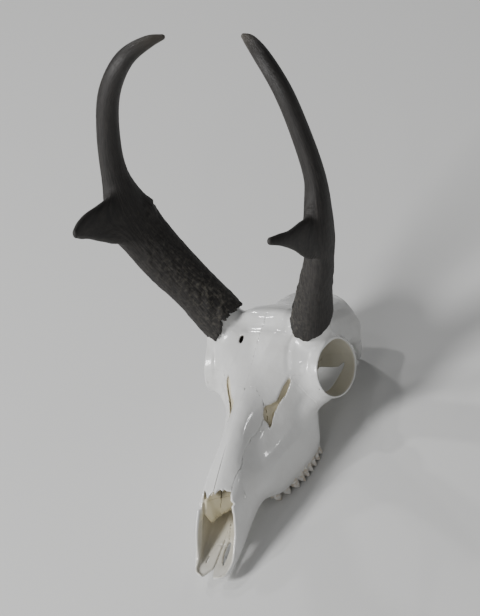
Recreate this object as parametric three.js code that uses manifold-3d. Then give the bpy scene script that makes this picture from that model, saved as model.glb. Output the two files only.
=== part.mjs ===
// A pronghorn buck's skull without its lower jaw, with both horn sheaths, at life size.
// Millimetres. +X is the animal's left, +Y runs from the nose tip back, +Z is up.
// It lies on its cheek teeth and on the two jugular processes behind the ears.
import * as THREE from "three";
import { mergeVertices } from "three/addons/utils/BufferGeometryUtils.js";
import Module from "manifold-3d";

const wasm = await Module();
wasm.setup();

// ---- Driving dimensions. y runs back from the nose tip, z up from the table.
const ORBIT_CENTRE = new THREE.Vector3(61.3, 198.5, 71.3);
const ORBIT_AXIS = new THREE.Vector3(0.965, -0.15, 0.2).normalize();
const SNOUT_FRONT = 7;
const ORBIT_RADIUS = 25.2;
const ORBIT_WALL = 1.8;
const TOOTH_ROW_START = 104;
const TOOTH_ROW_END = 169;
const TEETH_PER_SIDE = 6;
const CROWN_HEIGHT = 12;
const CROTCH_HEIGHT = 250;
const SUTURE = 0.35;

// ---- Materials
const bone = new THREE.MeshStandardMaterial({ color: 0xe6e3dc, roughness: 0.25, metalness: 0 });
const sheath = new THREE.MeshStandardMaterial({ color: 0x1c1a19, roughness: 0.7, metalness: 0 });

// ---- Small helpers

// A smooth curve through (station, value) pairs, as a function of the station.
function along(...pairs) {
  const last = pairs.length - 1;
  const slope = pairs.map((p, i) => {
    const a = pairs[Math.max(i - 1, 0)];
    const b = pairs[Math.min(i + 1, last)];
    return (b[1] - a[1]) / (b[0] - a[0]);
  });
  return (s) => {
    if (s <= pairs[0][0]) return pairs[0][1];
    if (s >= pairs[last][0]) return pairs[last][1];
    const i = pairs.findIndex((p, k) => k < last && s < pairs[k + 1][0]);
    const [s0, v0] = pairs[i];
    const [s1, v1] = pairs[i + 1];
    const h = s1 - s0;
    const t = (s - s0) / h;
    return (2 * t ** 3 - 3 * t ** 2 + 1) * v0 + (t ** 3 - 2 * t ** 2 + t) * h * slope[i]
      + (3 * t ** 2 - 2 * t ** 3) * v1 + (t ** 3 - t ** 2) * h * slope[i + 1];
  };
}

// A closed skin over a row of rings, each a list of the same number of points.
function loft(rings) {
  const n = rings[0].length;
  const points = rings.flat();
  const middle = (ring) => ring.reduce((sum, p) => sum.add(p), new THREE.Vector3()).divideScalar(n);
  const tail = (rings.length - 1) * n;
  const ends = [points.length, points.length + 1];
  points.push(middle(rings[0]), middle(rings[rings.length - 1]));
  const faces = [];
  for (let i = 0; i < n; i++) {
    const next = (i + 1) % n;
    for (let r = 0; r < tail; r += n)
      faces.push(r + i, r + next, r + i + n, r + next, r + next + n, r + i + n);
    faces.push(ends[0], next, i);
    faces.push(ends[1], tail + i, tail + next);
  }
  const geometry = new THREE.BufferGeometry().setFromPoints(points);
  geometry.setIndex(faces);
  return geometry;
}

// A geometry as a solid, turned right side out if its winding came out reversed.
function solid(geometry) {
  const bare = geometry.clone();
  bare.deleteAttribute("normal");
  bare.deleteAttribute("uv");
  const merged = mergeVertices(bare, 1e-3);
  const vertProperties = merged.attributes.position.array;
  const triVerts = new Uint32Array(merged.index.array);
  const build = () => new wasm.Manifold(new wasm.Mesh({ numProp: 3, vertProperties, triVerts }));
  const made = build();
  if (made.volume() > 0) return made;
  for (let i = 0; i < triVerts.length; i += 3)
    [triVerts[i + 1], triVerts[i + 2]] = [triVerts[i + 2], triVerts[i + 1]];
  return build();
}

const mirrored = (geometry) => solid(geometry.clone().scale(-1, 1, 1));
const bothSides = (geometry) => solid(geometry).add(mirrored(geometry));
const joined = (...solids) => solids.reduce((a, b) => a.add(b));
const xy = (pairs) => pairs.map(([x, y]) => new THREE.Vector2(x, y));

function ellipsoid(centre, radii, sides = 10) {
  const geometry = new THREE.SphereGeometry(1, sides, Math.round(sides * 0.7));
  return geometry.scale(...radii).translate(...centre);
}

// A bar along a smooth path. Each stop is [x, y, z, radius across, radius along the wide axis].
function bar(stops, wide, steps, sides) {
  const path = new THREE.CatmullRomCurve3(stops.map((p) => new THREE.Vector3(...p.slice(0, 3))));
  const size = (k) => along(...stops.map((p, i) => [i / (stops.length - 1), p[k]]));
  const thin = size(3);
  const broad = size(4);
  const rings = [];
  for (let i = 0; i <= steps; i++) {
    const t = i / steps;
    const across = new THREE.Vector3().crossVectors(path.getTangent(t), wide).normalize();
    const up = new THREE.Vector3().crossVectors(across, path.getTangent(t)).normalize();
    rings.push(Array.from({ length: sides }, (_, k) => {
      const angle = (2 * Math.PI * k) / sides;
      return path.getPoint(t)
        .addScaledVector(across, Math.cos(angle) * thin(t))
        .addScaledVector(up, Math.sin(angle) * broad(t));
    }));
  }
  return loft(rings);
}

// A body skinned over named lines that run from nose to neck. Each line is [half-width, height];
// the first is the roof's midline and the last one the floor's. Inset makes the skin smaller.
function hull(lines, from, to, steps, sides, inset = 0) {
  const rings = [];
  for (let i = 0; i <= steps; i++) {
    const s = from + ((to - from) * i) / steps;
    const half = lines.map(([x, z]) => new THREE.Vector3(x(s), s, z(s)));
    const other = half.slice(1, -1).reverse().map((p) => new THREE.Vector3(-p.x, p.y, p.z));
    const loop = new THREE.CatmullRomCurve3([...half, ...other], true, "centripetal");
    const ring = Array.from({ length: sides }, (_, k) => loop.getPoint(k / sides));
    const middle = half[0].clone().add(half[half.length - 1]).divideScalar(2);
    for (const p of ring) p.addScaledVector(p.clone().sub(middle).normalize(), -inset);
    rings.push(ring);
  }
  return loft(rings);
}

// Solids drawn as an outline and drawn out along one axis.
function seenFromAbove(outline, z0, z1) {
  const shape = new THREE.Shape(xy(outline));
  const geometry = new THREE.ExtrudeGeometry(shape, { depth: z1 - z0, bevelEnabled: false });
  return geometry.translate(0, 0, z0);
}

function seenFromSide(outline, x0, x1) {
  const shape = new THREE.Shape(xy(outline));
  const geometry = new THREE.ExtrudeGeometry(shape, { depth: x1 - x0, bevelEnabled: false });
  return geometry.rotateY(Math.PI / 2).rotateX(Math.PI / 2).translate(x0, 0, 0);
}

// A line drawn as a strip as wide as a suture, to be drawn out into a thin wall.
function strip(line, width = SUTURE) {
  const points = xy(line);
  const side = (sign) => points.map((p, i) => {
    const before = points[Math.max(i - 1, 0)];
    const after = points[Math.min(i + 1, points.length - 1)];
    const run = after.clone().sub(before).normalize();
    return [p.x - (sign * run.y * width) / 2, p.y + (sign * run.x * width) / 2];
  });
  return [...side(1), ...side(-1).reverse()];
}

const wallFromAbove = (line, z0 = -5, z1 = 160) => seenFromAbove(strip(line), z0, z1);
const wallFromSide = (line, x0 = -120, x1 = 120) => seenFromSide(strip(line), x0, x1);

const middleLine = () => 0;

// ---- The face: nasals above, upper jaw at the sides, palate below
const faceLines = [
  [
    middleLine,
    along([20, 47], [48, 58.5], [58, 63], [75, 69.5], [100, 78], [125, 85], [145, 89.5],
      [170, 98], [190, 105], [206, 110]),
  ],
  [
    along([7, 5], [20, 7.5], [48, 8.5], [100, 9.5], [125, 10], [145, 11], [160, 15], [172, 22],
      [190, 32], [206, 36]),
    along([20, 44], [48, 55.5], [58, 60], [75, 66], [100, 74.5], [125, 81.5], [145, 85.5],
      [160, 88.5], [172, 92], [190, 99], [206, 104]),
  ],
  [
    along([7, 7], [20, 13], [48, 15.4], [60, 16.4], [78, 17.4], [100, 18], [120, 19.5],
      [137, 21.5], [150, 25.5], [172, 35], [190, 46], [206, 48]),
    along([20, 36], [48, 47], [60, 52.5], [78, 58.5], [100, 61.5], [120, 64], [137, 66],
      [150, 70], [172, 80], [190, 88], [206, 92]),
  ],
  [
    along([7, 8], [9, 13.5], [12, 15.8], [17, 17], [24, 17.6], [40, 18], [48, 18.4], [60, 19.2],
      [80, 21.2], [100, 26], [120, 31.5], [145, 38.5], [160, 42], [175, 45], [206, 42]),
    along([7, 15], [20, 20], [48, 30], [80, 38], [120, 42], [160, 40], [175, 46], [190, 58],
      [206, 66]),
  ],
  [
    along([7, 8], [9, 13], [12, 15.6], [17, 16.9], [24, 17.4], [40, 17.8], [60, 18.4], [80, 19.3],
      [90, 20], [97, 22], [107, 25.5], [120, 30], [135, 34.5], [150, 37.5], [165, 38.5],
      [175, 35], [190, 30], [206, 26]),
    along([7, 11], [20, 11.5], [30, 12], [40, 13], [48, 14.7], [60, 18], [70, 20.2], [80, 21.2],
      [90, 20.5], [97, 17], [107, 11.5], [120, 10.5], [150, 10.5], [165, 13], [175, 24],
      [190, 38], [206, 46]),
  ],
  [
    along([7, 5], [12, 9.5], [48, 11.5], [80, 12], [95, 13], [107, 15], [130, 19], [150, 21],
      [165, 21], [180, 19], [206, 16]),
    along([7, 9.5], [20, 10.5], [30, 11.5], [48, 14.7], [60, 17], [80, 19.5], [95, 17.5],
      [107, 13], [130, 12.5], [150, 13], [165, 18], [180, 32], [206, 44]),
  ],
  [
    middleLine,
    along([7, 9], [25, 12.3], [35, 13.8], [48, 16], [60, 18.5], [80, 21.5], [107, 24], [130, 25],
      [150, 27], [165, 30], [180, 36], [206, 45]),
  ],
];

// ---- The braincase, sloping down behind the horns to the crest at the neck
const braincaseLines = [
  [
    middleLine,
    along([196, 106], [206, 111], [216, 114.5], [226, 113.5], [238, 106], [250, 96], [262, 86.5],
      [276, 77], [288, 71.5]),
  ],
  [
    along([196, 26], [222, 24], [245, 24], [265, 25], [280, 29], [288, 22]),
    along([196, 101], [210, 105], [222, 104.5], [235, 99], [250, 89], [265, 80], [280, 71],
      [288, 67.5]),
  ],
  [
    along([196, 38], [215, 39], [232, 38], [255, 38], [270, 40.5], [280, 41], [288, 30]),
    along([196, 88], [215, 86], [232, 77], [245, 69], [260, 59], [275, 50], [288, 48]),
  ],
  [
    along([196, 22], [215, 25], [235, 31], [255, 35], [275, 35], [283, 26], [288, 18]),
    along([196, 58], [215, 55], [235, 46], [255, 37], [275, 31], [288, 33]),
  ],
  [middleLine, along([196, 48], [215, 46], [235, 41], [255, 35], [275, 29], [288, 31])],
];

// ---- The horns: a blade-like beam that hooks in and back, and a flat prong at its front edge
const BLADE_FACING = new THREE.Vector3(Math.sin(0.37), -Math.cos(0.37), 0);
const beamStops = [
  [37, 213.8, 91, 18.5, 21], [44.5, 214.4, 110, 17.4, 20.6], [59.2, 214.5, 145.3, 14.2, 20.5],
  [77.6, 214.5, 185.9, 12.2, 22.5], [91, 217, 226, 10.6, 23], [95.4, 226, 262, 9, 12.5],
  [92.7, 239.5, 300, 8.8, 10.4], [83.5, 252, 332, 9, 9.8], [65.5, 266, 355, 8, 8.8],
  [48, 280, 360.5, 5.2, 5.6], [37, 289, 358.5, 1.4, 1.4],
];
const prongStops = [
  [91, 216, 226, 8, 24], [93, 196, 233, 7.4, 20], [94.3, 180, 243, 6.4, 12.5],
  [95, 166, 254.5, 5.2, 8], [95, 155.5, 264.5, 4, 5.2], [94.3, 147, 272.5, 1.4, 1.6],
];
const grown = (stops, by) => stops.map(([x, y, z, a, b]) => [x, y, z, a + by, b + by]);

// Everything above the ragged lower edge of the sheath, which runs lowest in front.
function sheathRegion(drop) {
  return solid(seenFromSide(
    [[150, 95 - drop], [192, 102 - drop], [214, 106 - drop], [240, 109.5 - drop], [320, 113 - drop],
      [320, 400], [150, 400]], -130, 130));
}

function hornPieces() {
  const beam = bothSides(bar(beamStops, BLADE_FACING, 18, 12)).intersect(sheathRegion(0));
  const room = bothSides(bar(grown(beamStops, SUTURE), BLADE_FACING, 18, 12));
  const blade = bothSides(bar(prongStops, new THREE.Vector3(0, 0.62, 0.78), 8, 10));
  const prong = blade.subtract(room);
  const forked = beam.subtract(solid(seenFromSide(strip(
    [[150, CROTCH_HEIGHT - 6], [216, CROTCH_HEIGHT], [300, CROTCH_HEIGHT + 8]]), -130, 130)));
  return { forked, prong, socket: room.intersect(sheathRegion(SUTURE)) };
}

// ---- The bony knob under each horn, standing on the roof of the eye socket
const pedicleStops = [
  [36, 211, 68, 12, 14], [38.5, 213, 84, 16.5, 18.5], [41.5, 214, 98, 16.4, 19.5],
  [44, 214.4, 112, 14, 17],
];

// ---- The orbit: a short flaring tube of bone round the eye
function orbitTube(outer, inner, depth, start = 0, sides = 16) {
  const u = new THREE.Vector3().crossVectors(ORBIT_AXIS, new THREE.Vector3(0, 0, 1)).normalize();
  const v = new THREE.Vector3().crossVectors(u, ORBIT_AXIS).normalize();
  const ring = (share) => Array.from({ length: sides }, (_, k) => {
    const angle = (2 * Math.PI * k) / sides;
    const radius = outer + (inner - outer) * share;
    return ORBIT_CENTRE.clone()
      .addScaledVector(ORBIT_AXIS, -(start + (depth - start) * share))
      .addScaledVector(u, Math.cos(angle) * radius)
      .addScaledVector(v, Math.sin(angle) * radius + 2 * share);
  });
  return loft([ring(1), ring(0)]);
}

// ---- The cheek's lower corner, running up to the rim under the eye
const malarStops = [[34, 162, 44, 5, 6], [40, 171, 50, 6, 7], [48, 180, 54, 5, 6], [55, 188, 56, 3, 5]];

// ---- The cheekbone's bridge behind the eye, reaching the side of the braincase
const bridgeStops = [
  [62.5, 202, 54.5, 3.6, 7], [63.5, 214, 51.5, 3.2, 6], [61, 226, 50, 2.8, 5.2],
  [53, 238, 50, 3, 5.5], [41, 247, 50, 4, 7], [30, 252, 50, 4, 8],
];

// ---- Base of the skull
const jugularStops = [
  [35, 272, 40, 5, 8], [34.5, 274, 27, 3.6, 7], [31.5, 275.5, 15, 3, 6], [28, 276.5, 4, 2.6, 4.5],
  [26.5, 277, -3, 2.4, 3.8],
];
const wingStops = [
  [12, 166, 31, 2.2, 9], [12.5, 178, 33, 2, 12], [12.8, 192, 36, 2, 13], [13.5, 206, 40, 2.2, 10],
  [14, 216, 44, 2.4, 7],
];

function toothRow() {
  const outerAt = along([100, 22.5], [107, 24.5], [120, 29], [135, 33], [150, 35], [170, 34.5]);
  const widthAt = along([100, 9], [120, 13], [135, 15], [160, 16], [170, 13]);
  const pitch = (TOOTH_ROW_END - TOOTH_ROW_START) / TEETH_PER_SIDE;
  const cusps = [[0, -1.4, 1.4], [0.25, 0.3, 0], [0.5, -0.8, 0], [0.75, 0.3, 0]];
  const outer = [];
  const inner = [];
  for (let i = 0; i < TEETH_PER_SIDE; i++)
    for (const [t, bulge, dent] of cusps) {
      const s = TOOTH_ROW_START + (i + t) * pitch;
      outer.push([outerAt(s) + bulge, s]);
      if (dent || t === 0.5) inner.unshift([outerAt(s) - widthAt(s) + dent, s]);
    }
  outer.push([outerAt(TOOTH_ROW_END) - 2, TOOTH_ROW_END]);
  return seenFromAbove([...outer, ...inner], 0, CROWN_HEIGHT + 5);
}

// ---- Whole bone, before it is parted
function skullSolid() {
  const body = joined(
    solid(hull(faceLines, SNOUT_FRONT, 206, 14, 20)),
    solid(hull(braincaseLines, 196, 288, 8, 15)),
    bothSides(orbitTube(ORBIT_RADIUS, 29, 34)),
    bothSides(bar(pedicleStops, BLADE_FACING, 3, 14)),
    bothSides(bar(malarStops, new THREE.Vector3(0, 0, 1), 3, 6)),
  );
  // The eye sockets, the open space below them, and the hollow behind them for the jaw muscle.
  const hollows = joined(
    bothSides(orbitTube(ORBIT_RADIUS - ORBIT_WALL, 20, 36, -4, 16)),
    bothSides(ellipsoid([37, 204, 36], [21, 27, 25])),
    bothSides(ellipsoid([49, 231, 60], [10.5, 19, 29])),
    bothSides(ellipsoid([28, 208, 30], [11, 34, 18])),
  );
  // The nose's passage, open in front: nasal tips above, the snout's sloping sides below.
  const passage = solid(hull(faceLines, -6, 172, 8, 12, 4));
  const nostril = solid(seenFromSide(
    [[-20, 200], [-20, 14.5], [6, 14.5], [14, 15.5], [22, 17.5], [33, 25.5], [44, 36], [53, 48.5],
      [57, 54], [64, 58], [61, 62], [56, 75]], -60, 60));
  const nasalTips = solid(seenFromAbove(
    [[-60, -20], [60, -20], [60, 66], [12.4, 65.5], [5.5, 55.5], [0, 59.5], [-5.5, 55.5],
      [-12.4, 65.5], [-60, 66]], 52.5, 120));
  // The slits between nasal, frontal and tear bone.
  const slit = seenFromAbove(
    [[31.2, 172.4], [26.9, 164.5], [23.1, 155.9], [20.3, 150], [17, 145.2], [16.3, 141.3],
      [17.1, 134.7], [21, 134.8], [22.2, 142], [25.9, 153.2], [29.4, 160.9], [31.8, 168.3]], 56, 120);
  // The clefts of the snout's floor: one in the middle and one each side.
  const snoutClefts = joined(
    solid(seenFromAbove(
      [[-3, -4], [3, -4], [1.6, 10], [0.8, 15], [0.8, 44], [-0.8, 44], [-0.8, 15],
        [-1.6, 10]], 2, 30)),
    bothSides(seenFromAbove(
      [[7.4, 20.4], [7.8, 29], [7.5, 36], [6.5, 43], [4.4, 44], [3.4, 38], [4, 30],
        [5.6, 23.5]], 2, 30)),
  );
  const carved = body
    .subtract(hollows)
    .subtract(passage)
    .subtract(nostril)
    .subtract(nasalTips)
    .subtract(bothSides(slit))
    .subtract(snoutClefts);
  const added = joined(
    bothSides(toothRow()),
    bothSides(bar(bridgeStops, new THREE.Vector3(0, 0, 1), 7, 8)),
    bothSides(bar(jugularStops, new THREE.Vector3(0, 1, 0), 5, 8)),
    bothSides(bar(wingStops, new THREE.Vector3(0, 0, 1), 4, 6)),
    bothSides(ellipsoid([20, 247, 31], [8, 12, 8.5], 8)),
    bothSides(ellipsoid([38, 247, 44], [7, 8, 7], 8)),
    bothSides(ellipsoid([13, 283, 33], [9, 8.5, 11], 9)),
  );
  const foramenMagnum = solid(ellipsoid([0, 292, 41], [10, 16, 9.5], 12));
  return carved.add(added).subtract(foramenMagnum);
}

// ---- Parting: thin walls along the sutures between the bones
function sutureWalls() {
  return joined(
    // Left from right: snout, palate, nasals and the forehead's two bones.
    solid(wallFromAbove([[0, -10], [0, 171.6]], -5, 48)),
    solid(wallFromAbove([[0, 40], [0, 171.6]], 48, 130)),
    solid(wallFromAbove([[0, 171], [0, 226]], 61.85, 130)),
    // Premaxilla from maxilla, up to a point beside the nasal.
    solid(wallFromSide([[36, -5], [39, 16], [52, 32], [67.4, 45.8]])),
    bothSides(wallFromSide([[67.2, 45.6], [73, 53.7], [92, 69]], 12.4, 120)),
    // Nasals from maxilla and frontal.
    bothSides(wallFromAbove([[13, 48], [12.8, 64], [13.6, 86], [12.2, 101], [13.2, 116], [16, 130],
      [16.8, 138], [15, 147], [8, 154], [-0.3, 150]], 49.5, 130)),
    bothSides(seenFromAbove([[5, 48], [13.1, 48], [13.1, 78], [5, 78]], 49.5, 49.5 + SUTURE)),
    // Maxilla from the bones behind it.
    solid(wallFromSide([[171.5, -5], [171.5, 85]], -60, 60)),
    // Frontal from the bones round the eye.
    bothSides(wallFromSide([[160, 95], [172, 85], [ORBIT_CENTRE.y, ORBIT_CENTRE.z]], 27, 120)),
    bothSides(wallFromSide([[ORBIT_CENTRE.y, ORBIT_CENTRE.z], [236, 59]], 33, 120)),
    // Cheekbone from the middle of the skull, and from the braincase.
    bothSides(wallFromAbove([[33, 168], [33, 208], [40.5, 226], [41.5, 238]], -5, 86)),
    bothSides(wallFromAbove([[39.8, 233], [54, 252]], 36, 64)),
    // Frontal from the skull's base and from the braincase.
    solid(seenFromAbove([[-42, 171], [42, 171], [42, 235], [24, 226], [-24, 226], [-42, 235]],
      62 - SUTURE, 62)),
    solid(wallFromAbove([[-64, 243], [-42, 235], [-24, 226], [24, 226], [42, 235], [64, 243]],
      61.7, 150)),
    solid(wallFromSide([[226, 62], [229, 34], [229, -5]], -43, 43)),
    // Braincase from occiput.
    solid(wallFromSide(
      [[252, -5], [252.5, 6], [257, 16], [259, 28], [262, 40], [268, 56], [273, 95]])),
  );
}

// ---- The named bones and horn lengths, each with a point near the middle of its bounds
const pairedParts = {
  premaxilla: [9, 43, 39],
  maxilla: [22, 105, 42],
  nasal: [6, 107, 72],
  frontal: [30, 190, 90],
  cheekbone: [50, 208, 52],
  horn_base: [63, 216, 175],
  horn_prong: [93, 179, 243],
  horn_hook: [70, 248, 307],
};
const middleParts = {
  skull_base: [0, 200, 41],
  braincase: [0, 250, 63],
  occiput: [0, 275, 40],
};

function partNames() {
  const names = Object.entries(middleParts).map(([name, at]) => [name, new THREE.Vector3(...at)]);
  for (const [name, [x, y, z]] of Object.entries(pairedParts)) {
    names.push([`${name}_left`, new THREE.Vector3(x, y, z)]);
    names.push([`${name}_right`, new THREE.Vector3(-x, y, z)]);
  }
  return names;
}

const { forked, prong, socket } = hornPieces();
const table = solid(seenFromSide([[-20, -20], [320, -20], [320, 0], [-20, 0]], -80, 80));
const bones = skullSolid().subtract(socket).subtract(table).subtract(sutureWalls());

// The biggest body near each named point; cutting also leaves a few crumbs, which go.
const chosen = new Map();
for (const body of [bones, forked, prong].flatMap((parted) => parted.decompose())) {
  const { min, max } = body.boundingBox();
  const middle = new THREE.Vector3(...min).add(new THREE.Vector3(...max)).divideScalar(2);
  const [name] = partNames().reduce((a, b) =>
    (middle.distanceTo(a[1]) < middle.distanceTo(b[1]) ? a : b));
  const rival = chosen.get(name);
  if (!rival || rival.volume() < body.volume()) chosen.set(name, body);
}

const group = new THREE.Group();
for (const [name] of partNames()) {
  const { vertProperties, triVerts, numProp } = chosen.get(name).getMesh();
  const points = new Float32Array((vertProperties.length / numProp) * 3);
  for (let i = 0; i < points.length / 3; i++)
    points.set(vertProperties.subarray(i * numProp, i * numProp + 3), i * 3);
  const geometry = new THREE.BufferGeometry();
  geometry.setAttribute("position", new THREE.BufferAttribute(points, 3));
  geometry.setIndex(new THREE.BufferAttribute(triVerts, 1));
  const mesh = new THREE.Mesh(geometry, name.startsWith("horn") ? sheath : bone);
  mesh.name = name;
  group.add(mesh);
}

// Origin under the middle of the whole, on the table.
const bounds = new THREE.Box3().setFromObject(group);
const centre = bounds.getCenter(new THREE.Vector3());
for (const mesh of group.children)
  mesh.geometry.translate(-centre.x, -centre.y, -bounds.min.z);

export default group;
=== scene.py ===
"""A pronghorn buck's skull with its horn sheaths, bleached and sealed, lying on a pale floor.

Every form is written in millimetres as (x, s, z): x to the animal's left, s back from the snout's
tip, z up from the floor. Bone and horn are modelled as signed distances, negative inside, and
skinned bone by bone.
"""
import math

import bpy
import numpy as np
from mathutils import Matrix, Vector


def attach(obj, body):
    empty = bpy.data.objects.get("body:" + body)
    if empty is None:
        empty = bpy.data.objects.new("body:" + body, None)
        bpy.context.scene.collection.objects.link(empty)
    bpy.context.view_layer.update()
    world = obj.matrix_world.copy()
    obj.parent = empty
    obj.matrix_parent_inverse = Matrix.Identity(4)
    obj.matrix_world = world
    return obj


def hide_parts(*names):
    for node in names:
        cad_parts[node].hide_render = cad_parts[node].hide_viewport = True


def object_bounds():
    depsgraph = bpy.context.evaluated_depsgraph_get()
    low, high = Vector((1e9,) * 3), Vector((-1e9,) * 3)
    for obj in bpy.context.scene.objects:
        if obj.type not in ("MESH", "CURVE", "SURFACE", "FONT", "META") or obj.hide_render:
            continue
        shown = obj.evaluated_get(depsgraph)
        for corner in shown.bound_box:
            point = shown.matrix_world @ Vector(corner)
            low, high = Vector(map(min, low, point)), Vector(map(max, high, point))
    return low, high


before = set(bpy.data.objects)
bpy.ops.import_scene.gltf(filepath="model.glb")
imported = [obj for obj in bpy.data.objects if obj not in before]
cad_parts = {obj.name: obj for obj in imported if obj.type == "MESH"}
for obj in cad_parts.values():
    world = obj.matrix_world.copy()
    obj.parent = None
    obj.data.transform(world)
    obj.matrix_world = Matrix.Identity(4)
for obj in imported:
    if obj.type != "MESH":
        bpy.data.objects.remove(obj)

cad_low, cad_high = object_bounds()

# ---- Sizes, in mm. The steps are those of the grids that bone and teeth are sampled on.
VOXEL = 0.8
TOOTH_VOXEL = 0.45
SNOUT_FRONT = 7.0
FACE_END = 216
FACE_CAP = 214
BRAIN_FRONT = 196
BRAIN_END = 288
CAD_SHIFT = SNOUT_FRONT - cad_low.y * 1000
# The eye socket: where its mouth is, which way that faces and which way on it is forward.
ORBIT_AT = np.array([61.3, 198.5, 71.3])
ORBIT_AXIS = np.array([0.965, -0.15, 0.2]) / np.linalg.norm([0.965, -0.15, 0.2])
ORBIT_FRONT = np.array([-0.109, -0.973, -0.204])
ORBIT_RADIUS = 25.3
ORBIT_OPENING = 24.0
ORBIT_OVAL = 0.035
THROAT_WAY = np.array([-0.46932, 0.60189, -0.64612])
BONE_WALL = 2.4
SEAM = 0.04
# Taken off a body's distances, this gives a region that cuts nothing off it.
UNCUT = 9
SHARP_EDGE = math.radians(48)
BLADE_TURN = 0.37
BLADE_FACING = np.array([math.sin(BLADE_TURN), -math.cos(BLADE_TURN), 0.0])


# ---- Curves and outlines


def hermite(t):
    """The shares of a start, its slope, an end and its slope in a smooth span."""
    return 2 * t**3 - 3 * t**2 + 1, t**3 - 2 * t**2 + t, 3 * t**2 - 2 * t**3, t**3 - t**2


def curve(*stops):
    """A smooth value along the skull, through (station, value) stops."""
    at, value = np.array(stops, float).T
    last = len(at) - 1
    low = np.maximum(np.arange(last + 1) - 1, 0)
    high = np.minimum(np.arange(last + 1) + 1, last)
    slope = (value[high] - value[low]) / (at[high] - at[low])

    def read(s):
        s = np.clip(np.asarray(s, float), at[0], at[-1])
        i = np.clip(np.searchsorted(at, s, side="right") - 1, 0, last - 1)
        h = at[i + 1] - at[i]
        a, b, c, d = hermite((s - at[i]) / h)
        return (a * value[i] + b * h * slope[i]) + (c * value[i + 1] + d * h * slope[i + 1])

    return read


def smooth_spans(p0, p1, p2, p3, per_span):
    """Smooth curves from p1 to p2, shaped by their neighbours p0 and p3."""
    def gap(a, b):
        return np.maximum(((a - b) ** 2).sum(1), 1e-8)[:, None] ** 0.25

    d0, d1, d2 = gap(p0, p1), gap(p1, p2), gap(p2, p3)
    m1 = ((p1 - p0) / d0 - (p2 - p0) / (d0 + d1) + (p2 - p1) / d1) * d1
    m2 = ((p2 - p1) / d1 - (p3 - p1) / (d1 + d2) + (p3 - p2) / d2) * d1
    t = (np.arange(per_span) / per_span)[None, :, None]
    p1, p2, m1, m2 = (a[:, None, :] for a in (p1, p2, m1, m2))
    a, b, c, d = hermite(t)
    return (a * p1 + b * m1 + c * p2 + d * m2).reshape(-1, p1.shape[2])


def smooth_loop(points, per_span=3):
    p = np.asarray(points, float)
    return smooth_spans(np.roll(p, 1, 0), p, np.roll(p, -1, 0), np.roll(p, -2, 0), per_span)


def smooth_path(points, per_span):
    p = np.asarray(points, float)
    p = np.concatenate([[2 * p[0] - p[1]], p, [2 * p[-1] - p[-2]]])
    body = smooth_spans(p[:-3], p[1:-2], p[2:-1], p[3:], per_span)
    return np.concatenate([body, p[-2:-1]])


def outline_distance(outline, u, v):
    """Signed distance from (u, v) to a closed outline, negative inside."""
    shape = np.broadcast(u, v).shape
    near = np.full(shape, 1e9, np.float32)
    inside = np.zeros(shape, bool)
    outline = np.asarray(outline, float)
    for a, b in zip(outline, np.roll(outline, -1, 0)):
        e = b - a
        t = np.clip(((u - a[0]) * e[0] + (v - a[1]) * e[1]) / max(e @ e, 1e-9), 0, 1)
        near = np.minimum(near, (u - a[0] - e[0] * t) ** 2 + (v - a[1] - e[1] * t) ** 2)
        if a[1] != b[1]:
            inside ^= ((a[1] > v) != (b[1] > v)) & (u < e[0] * (v - a[1]) / e[1] + a[0])
    return (np.where(inside, -1, 1) * np.sqrt(near)).astype(np.float32)


# ---- Noise that is the same on every run


CORNERS = np.array([(i, j, k) for i in (0, 1) for j in (0, 1) for k in (0, 1)])


def corner_shares(f):
    """Each corner of a cell, and its share at points that lie f of the way through the cell."""
    for dx, dy, dz in CORNERS:
        w = np.where(dx, f[:, 0], 1 - f[:, 0]) * np.where(dy, f[:, 1], 1 - f[:, 1])
        yield dx, dy, dz, w * np.where(dz, f[:, 2], 1 - f[:, 2])


def lattice(ix, iy, iz, seed):
    h = (ix * 374761393 + iy * 668265263 + iz * 2147483647 + seed * 144665) & 0xFFFFFFFF
    h = ((h ^ (h >> 13)) * 1274126177) & 0xFFFFFFFF
    return ((h ^ (h >> 16)) & 0xFFFF).astype(np.float32) / 32767.5 - 1


def noise(points, size, seed):
    """Smooth values from -1 to 1 over points, with lumps about as large as size."""
    p = np.asarray(points, np.float64) / size
    i = np.floor(p).astype(np.int64)
    f = (p - i).astype(np.float32)
    f = f * f * (3 - 2 * f)
    total = 0
    for dx, dy, dz, share in corner_shares(f):
        total = total + share * lattice(i[:, 0] + dx, i[:, 1] + dy, i[:, 2] + dz, seed)
    return total


# ---- A block of signed distances and the forms that go in and out of it


def blend(a, b, soft):
    """The nearer of two surfaces, rounded where they meet."""
    if soft <= 0:
        return np.minimum(a, b)
    h = np.clip(0.5 + 0.5 * (b - a) / soft, 0, 1)
    return b + (a - b) * h - soft * h * (1 - h)


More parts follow.
